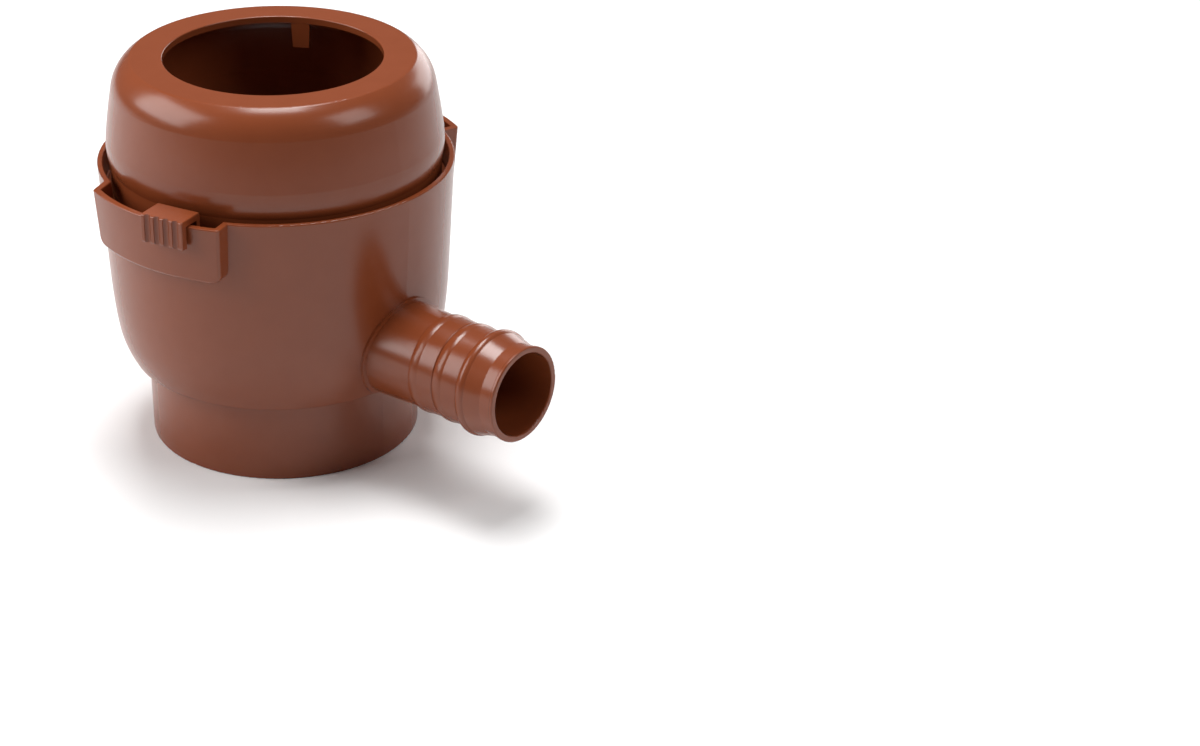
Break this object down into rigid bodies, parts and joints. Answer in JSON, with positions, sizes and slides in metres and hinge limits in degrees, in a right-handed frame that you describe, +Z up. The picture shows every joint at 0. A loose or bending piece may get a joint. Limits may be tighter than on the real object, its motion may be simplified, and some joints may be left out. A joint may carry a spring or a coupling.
{
  "type": "rainwater diverter",
  "caption": "Downpipe rainwater diverter: tapered bowl on a round foot, domed cover with pipe opening, barbed hose spout and a turning shutter with thumb tabs at the rim.",
  "frame": {"origin": "centre of the lower pipe socket's mouth, in the plane that the foot stands on", "axes": "+Z up along the downpipe's axis, +X along the hose spout, the finger pockets at -Y and +Y, as mirror images"},
  "size_m": [0.1583, 0.1291, 0.1272],
  "materials": {
    "body_plastic": "satin, injection moulded",
    "cover_plastic": "satin, injection moulded",
    "shutter_plastic": "satin, injection moulded"
  },
  "bodies": {
    "housing": {"body": "body_plastic", "cover": "cover_plastic"},
    "shutter_ring": {"shutter": "shutter_plastic"}
  },
  "joints": [
    {"name": "shutter_turn", "type": "hinge", "parent": "housing", "child": "shutter_ring", "pos_m": [0, 0, 0.06], "axis": [0, 0, 1], "range_deg": [-25.3, 5.9]}
  ]
}
